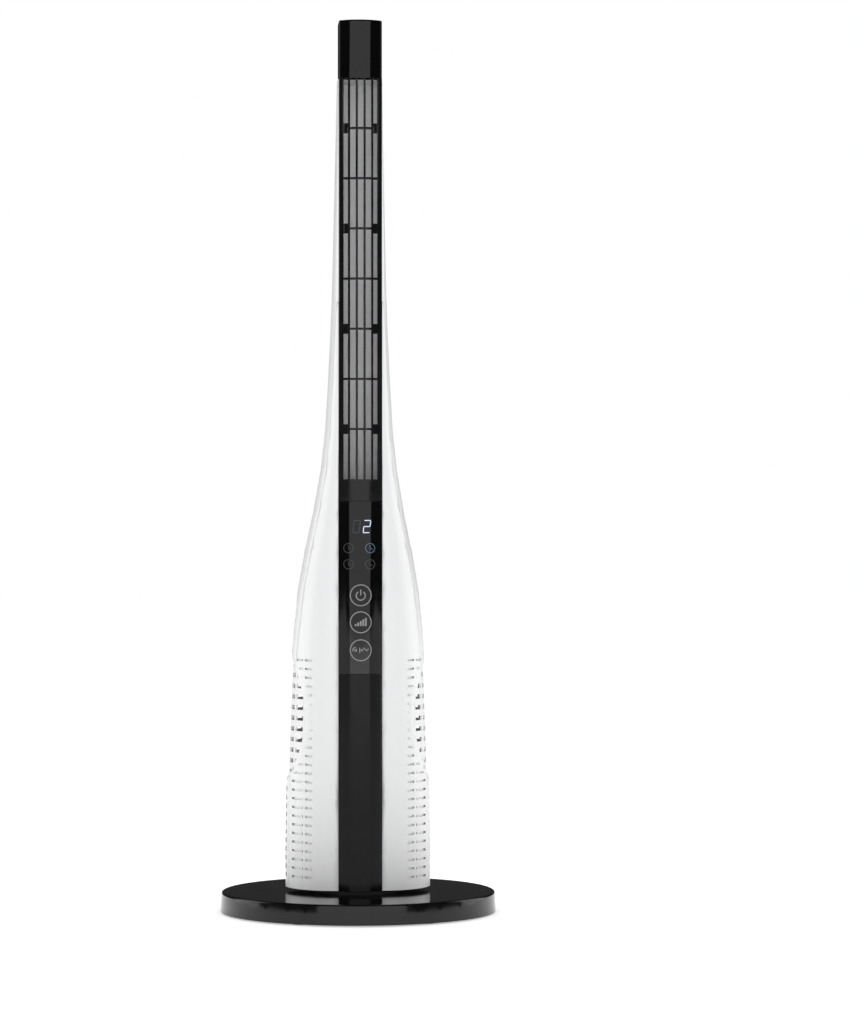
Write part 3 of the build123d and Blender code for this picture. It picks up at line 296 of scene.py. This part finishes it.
KEY_INK = lamp_or_painted_glow_ink("key_ring_ink", (0.13, 0.13, 0.135), (0.16, 0.16, 0.165), 0.55)
DIGIT_LIT = lamp_or_painted_glow_ink("display_digit_lit", (0.5, 0.6, 0.8), (0.62, 0.72, 0.9), 0.25)
# the unlit left digit glows faintly although its lamp is off: painted glow
DIGIT_UNLIT_PAINTED_GLOW = lamp_or_painted_glow_ink("display_digit_unlit_painted_glow", (0.006, 0.011, 0.016), (0.008, 0.014, 0.02), 0.8)
# the unlit indicators glow faintly although their lamps are off: painted glow
LAMP_UNLIT_PAINTED_GLOW = lamp_or_painted_glow_ink("indicator_unlit_painted_glow", (0.009, 0.011, 0.012), (0.012, 0.014, 0.016), 0.8)
LAMP_LIT = lamp_or_painted_glow_ink("indicator_lit", (0.03, 0.055, 0.085), (0.04, 0.07, 0.11), 0.8)

# marks are drawn flat, a little in front of the touch panel, and then laid on it (metres)
MARK_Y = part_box("touch_panel")[0].y - 0.004
INK_LIFT = 0.0001
INK_THICK = 0.0002
STROKE_CUTS = 4
HOOP_STEPS = 72


def stroke(x, z, length, width, angle=0.0):
    """Flat straight mark in front of the panel, sizes in mm and its angle in radians."""
    clear_selection()
    bpy.ops.mesh.primitive_plane_add(size=1, location=(x * MM, MARK_Y, z * MM),
                                     rotation=(math.pi / 2, angle, 0))
    piece = bpy.context.object
    piece.scale = (length * MM, width * MM, 1)
    bpy.ops.object.transform_apply(location=True, rotation=True, scale=True)
    bpy.ops.object.mode_set(mode="EDIT")
    bpy.ops.mesh.select_all(action="SELECT")
    bpy.ops.mesh.subdivide(number_cuts=STROKE_CUTS)
    bpy.ops.object.mode_set(mode="OBJECT")
    return piece


def hoop(x, z, radius, width, start=0.0, end=360.0):
    """Flat ring or part of one in front of the panel, sizes in mm, degrees counted from straight up."""
    clear_selection()
    centre = Vector((x * MM, MARK_Y, z * MM))
    bpy.ops.mesh.primitive_circle_add(vertices=HOOP_STEPS, radius=(radius + width / 2) * MM,
                                      fill_type="NOTHING", location=centre, rotation=(math.pi / 2, 0, 0))
    piece = bpy.context.object
    bpy.ops.object.transform_apply(location=True, rotation=True, scale=True)
    bpy.ops.object.mode_set(mode="EDIT")
    bpy.ops.mesh.select_mode(type="VERT")
    bpy.ops.mesh.select_all(action="SELECT")
    bpy.ops.mesh.extrude_region_move()
    shrink = (radius - width / 2) / (radius + width / 2)
    bpy.ops.transform.resize(value=(shrink, shrink, shrink), center_override=centre)
    bpy.ops.mesh.select_all(action="DESELECT")
    bpy.ops.object.mode_set(mode="OBJECT")
    if end - start < 360:
        for face in piece.data.polygons:
            turn = math.degrees(math.atan2(face.center.x - centre.x, face.center.z - centre.z)) % 360
            face.select = not start <= turn <= end
        bpy.ops.object.mode_set(mode="EDIT")
        bpy.ops.mesh.select_mode(type="FACE")
        bpy.ops.mesh.delete(type="FACE")
        bpy.ops.object.mode_set(mode="OBJECT")
    return piece


def lay_on_panel(name, marks, finish):
    """Join flat marks, wrap them on to the curved panel and give them a little thickness."""
    pick(marks[0])
    for mark in marks[1:]:
        mark.select_set(True)
    bpy.ops.object.join()
    piece = bpy.context.object
    piece.name = name
    bpy.ops.object.mode_set(mode="EDIT")
    bpy.ops.mesh.select_all(action="SELECT")
    bpy.ops.mesh.normals_make_consistent(inside=False)
    bpy.ops.object.mode_set(mode="OBJECT")
    if sum(f.normal.y for f in piece.data.polygons) > 0:
        bpy.ops.object.mode_set(mode="EDIT")
        bpy.ops.mesh.flip_normals()
        bpy.ops.object.mode_set(mode="OBJECT")
    wrap = piece.modifiers.new("wrap", "SHRINKWRAP")
    wrap.target = bpy.data.objects["touch_panel_skin"]
    wrap.wrap_method = "PROJECT"
    wrap.use_project_y = True
    wrap.use_negative_direction = False
    wrap.use_positive_direction = True
    wrap.offset = INK_LIFT
    bpy.ops.object.modifier_apply(modifier="wrap")
    thick = piece.modifiers.new("thick", "SOLIDIFY")
    thick.thickness = INK_THICK
    thick.offset = -1
    bpy.ops.object.modifier_apply(modifier="thick")
    dress(piece, finish)
    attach(piece, "tower")


# touch keys, in mm
KEY_RADIUS = 11.6
KEY_LINE = 1.1
POWER_Z, SPEED_Z, SWING_Z = 357.6, 327.6, 296.5
POWER_SIGN_RADIUS, POWER_SIGN_LINE, POWER_SIGN_DROP = 5.0, 1.3, 0.4
POWER_GAP = (35, 325)
POWER_BAR_RISE, POWER_BAR_TALL = 3.2, 6.4
SPEED_BARS, SPEED_BAR_WIDE, SPEED_BAR_PITCH = 5, 2.0, 2.8
SPEED_BAR_TALL, SPEED_BAR_STEP, SPEED_BAR_FOOT = 2.2, 1.7, 4.2
SWING_HUB_X, SWING_HUB_RADIUS, SWING_HUB_LINE = -5.6, 1.2, 0.9
SWING_ARC_RADIUS, SWING_ARC_LINE, SWING_ARC = 3.2, 1.0, (250, 360)
# the swing sign's strokes: x, rise, length, width, angle in radians
SWING_STROKES = (
    (-1.2, 0, 0.9, 6.0, 0.0), (1.2, 0, 3.4, 0.9, 0.7), (1.2, 0, 3.4, 0.9, -0.7), (4.6, 1.2, 4.2, 1.0, 0.75),
    (7.4, 0.4, 3.6, 1.0, -0.6),
)


def key_ring(z):
    """Round outline of one touch key."""
    return hoop(0, z, KEY_RADIUS, KEY_LINE)


def add_power_key():
    """Ring with a broken circle and an upright bar."""
    marks = [
        key_ring(POWER_Z),
        hoop(0, POWER_Z - POWER_SIGN_DROP, POWER_SIGN_RADIUS, POWER_SIGN_LINE, *POWER_GAP),
        stroke(0, POWER_Z + POWER_BAR_RISE, POWER_SIGN_LINE, POWER_BAR_TALL),
    ]
    lay_on_panel("power_key_mark", marks, KEY_INK)


def add_speed_key():
    """Ring with a row of rising bars."""
    marks = [key_ring(SPEED_Z)]
    first = -SPEED_BAR_PITCH * (SPEED_BARS - 1) / 2
    for k in range(SPEED_BARS):
        tall = SPEED_BAR_TALL + SPEED_BAR_STEP * k
        foot = SPEED_Z - SPEED_BAR_FOOT
        marks.append(stroke(first + SPEED_BAR_PITCH * k, foot + tall / 2, SPEED_BAR_WIDE, tall))
    lay_on_panel("speed_key_mark", marks, KEY_INK)


def add_swing_key():
    """Ring with a pivot, an arc and a wave."""
    marks = [
        key_ring(SWING_Z),
        hoop(SWING_HUB_X, SWING_Z, SWING_ARC_RADIUS, SWING_ARC_LINE, *SWING_ARC),
        hoop(SWING_HUB_X, SWING_Z, SWING_HUB_RADIUS, SWING_HUB_LINE),
    ]
    for x, rise, length, width, angle in SWING_STROKES:
        marks.append(stroke(x, SWING_Z + rise, length, width, angle))
    lay_on_panel("swing_key_mark", marks, KEY_INK)


# seven-segment display, in mm
DIGIT_WIDE = 8.0
DIGIT_TALL = 14.6
SEGMENT = 1.05
DIGIT_LEAN = 0.8
UPRIGHT_TURN = math.radians(96)
DIGIT_Z = 434
RIGHT_DIGIT_X, LEFT_DIGIT_X = 6.9, -4.6


def digit(x, z, segments):
    """Slightly slanted seven-segment digit, its segments named by letters a to g."""
    half_w, half_h = DIGIT_WIDE / 2 - SEGMENT / 2, DIGIT_TALL / 2 - SEGMENT / 2
    lean = DIGIT_LEAN
    places = {
        "a": (lean, half_h, True), "g": (0, 0, True), "d": (-lean, -half_h, True),
        "f": (-half_w + lean / 2, half_h / 2, False), "b": (half_w + lean / 2, half_h / 2, False),
        "e": (-half_w - lean / 2, -half_h / 2, False), "c": (half_w - lean / 2, -half_h / 2, False),
    }
    marks = []
    for letter in segments:
        dx, dz, flat = places[letter]
        length = 2 * half_w if flat else half_h - SEGMENT / 2
        marks.append(stroke(x + dx, z + dz, length, SEGMENT, 0.0 if flat else UPRIGHT_TURN))
    return marks


# indicator icons: small clock faces, in mm
ICON_RADIUS, ICON_LINE = 5.2, 0.9
LONG_HAND, LONG_HAND_RISE = 5.0, 0.8
SHORT_HAND, SHORT_HAND_TURN, SHORT_HAND_OUT, SHORT_HAND_DROP = 3.2, 0.4, 1.2, 0.6
INDICATORS = (
    ("indicator_upper_left", -13.5, 410, LAMP_UNLIT_PAINTED_GLOW), ("indicator_upper_right", 10.5, 410, LAMP_LIT),
    ("indicator_lower_left", -13.5, 392, LAMP_UNLIT_PAINTED_GLOW), ("indicator_lower_right", 10.5, 392, LAMP_UNLIT_PAINTED_GLOW),
)


def add_display():
    """Lit right digit, resting left digit and four small indicators."""
    lay_on_panel("display_digit_right", digit(RIGHT_DIGIT_X, DIGIT_Z, "abged"), DIGIT_LIT)
    lay_on_panel("display_digit_left", digit(LEFT_DIGIT_X, DIGIT_Z, "abcdef"), DIGIT_UNLIT_PAINTED_GLOW)
    for name, x, z, finish in INDICATORS:
        marks = [
            hoop(x, z, ICON_RADIUS, ICON_LINE),
            stroke(x, z + LONG_HAND_RISE, ICON_LINE, LONG_HAND),
            stroke(x + SHORT_HAND_OUT, z - SHORT_HAND_DROP, SHORT_HAND, ICON_LINE, SHORT_HAND_TURN),
        ]
        lay_on_panel(name, marks, finish)


add_power_key()
add_speed_key()
add_swing_key()
add_display()

# ------------------------------------------------------------ camera, light and floor
FAN_DISTANCE = 4.0
EYE_HEIGHT = 0.444
VIEW_TURN = math.radians(2.7)
AIM_TURN = math.radians(1.166)
AIM_RISE = math.radians(0.13)
SENSOR_WIDTH, LENS, CLIP_END = 36, 125.3, 60

# backdrop strength as seen in reflections, and the glow of the paper floor
REFLECTED_GLOW = 0.04
FLOOR_GLOW = 0.42
FLOOR_SIZE, FLOOR_SHIFT = 24, 4
# the room in front of the fan, and where it fades into the white wall behind
ROOM_GLOW = 0.25
FADE_START, FADE_END = -0.35, 0.25
# large light in front and one soft light at each side: metres and watts
FRONT_DISTANCE, FRONT_MIDDLE = 3.0, 1.37
FRONT_SIZE = (4.4, 2.7)
FRONT_POWER = 48.0
SIDE_OUT, SIDE_BACK, SIDE_MIDDLE = 2.1, 0.7, 0.75
SIDE_SIZE = (1.4, 2.2)
SIDE_POWER = 15.0


def add_camera():
    """Long lens, level with the middle of the tower, a little to its left."""
    place = (-FAN_DISTANCE * math.sin(VIEW_TURN), -FAN_DISTANCE * math.cos(VIEW_TURN), EYE_HEIGHT)
    clear_selection()
    bpy.ops.object.camera_add(location=place, rotation=(math.pi / 2 + AIM_RISE, 0, -(VIEW_TURN + AIM_TURN)))
    camera = bpy.context.object
    camera.data.sensor_width = SENSOR_WIDTH
    camera.data.sensor_fit = "AUTO"
    camera.data.lens = LENS
    camera.data.clip_end = CLIP_END
    bpy.context.scene.camera = camera


def add_softbox(name, place, size, power):
    """Large soft light that faces the fan's middle line at its own height."""
    clear_selection()
    bpy.ops.object.light_add(type="AREA", location=place)
    light = bpy.context.object
    light.name = name
    light.data.shape = "RECTANGLE"
    light.data.size, light.data.size_y = size
    light.data.energy = power
    light.visible_camera = False
    aim = Vector((0, 0, place[2])) - Vector(place)
    light.rotation_euler = aim.to_track_quat("-Z", "Y").to_euler()


def add_floor():
    """Plain pale floor that fades into the backdrop."""
    clear_selection()
    bpy.ops.mesh.primitive_plane_add(size=FLOOR_SIZE, location=(0, FLOOR_SHIFT, 0))
    floor = bpy.context.object
    floor.name = "studio_floor"
    mat, tree, shader = new_finish("studio_paper", (0.93, 0.93, 0.93), 0.9, specular=0.0)
    point = object_point(tree)
    tree.links.new(tint(tree, noise(tree, point, PAPER_MOTTLE), (0.925, 0.925, 0.925), (0.935, 0.935, 0.935)),
                   shader.inputs["Base Color"])
    shader.inputs["Emission Color"].default_value = (1, 1, 1, 1)
    shader.inputs["Emission Strength"].default_value = FLOOR_GLOW
    dress(floor, mat)


def set_backdrop():
    """White wall behind the fan, a dimmer room in front of it, dim in reflections and white to look at."""
    world = bpy.data.worlds.new("studio_white")
    bpy.context.scene.world = world
    world.use_nodes = True
    tree = world.node_tree
    back = tree.nodes["Background"]
    place = tree.nodes.new("ShaderNodeTexCoord")
    split = tree.nodes.new("ShaderNodeSeparateXYZ")
    fade = tree.nodes.new("ShaderNodeMapRange")
    fade.inputs["From Min"].default_value = FADE_START
    fade.inputs["From Max"].default_value = FADE_END
    fade.inputs["To Min"].default_value = ROOM_GLOW
    fade.inputs["To Max"].default_value = 1.0
    tree.links.new(place.outputs["Generated"], split.inputs["Vector"])
    tree.links.new(split.outputs["Y"], fade.inputs["Value"])
    ray = tree.nodes.new("ShaderNodeLightPath")
    seen = tree.nodes.new("ShaderNodeMath")
    seen.operation = "MAXIMUM"
    tree.links.new(fade.outputs["Result"], seen.inputs[0])
    tree.links.new(ray.outputs["Is Camera Ray"], seen.inputs[1])
    tree.links.new(seen.outputs["Value"], back.inputs["Color"])
    dim = tree.nodes.new("ShaderNodeMapRange")
    dim.inputs["To Min"].default_value = 1.0
    dim.inputs["To Max"].default_value = REFLECTED_GLOW
    tree.links.new(ray.outputs["Is Glossy Ray"], dim.inputs["Value"])
    tree.links.new(dim.outputs["Result"], back.inputs["Strength"])


add_camera()
set_backdrop()
add_floor()
add_softbox("front_light_wall", (0, -FRONT_DISTANCE, FRONT_MIDDLE), FRONT_SIZE, FRONT_POWER)
for side_name, way in (("left_softbox", -1), ("right_softbox", 1)):
    add_softbox(side_name, (way * SIDE_OUT, SIDE_BACK, SIDE_MIDDLE), SIDE_SIZE, SIDE_POWER)
bpy.context.scene.view_settings.view_transform = "Standard"
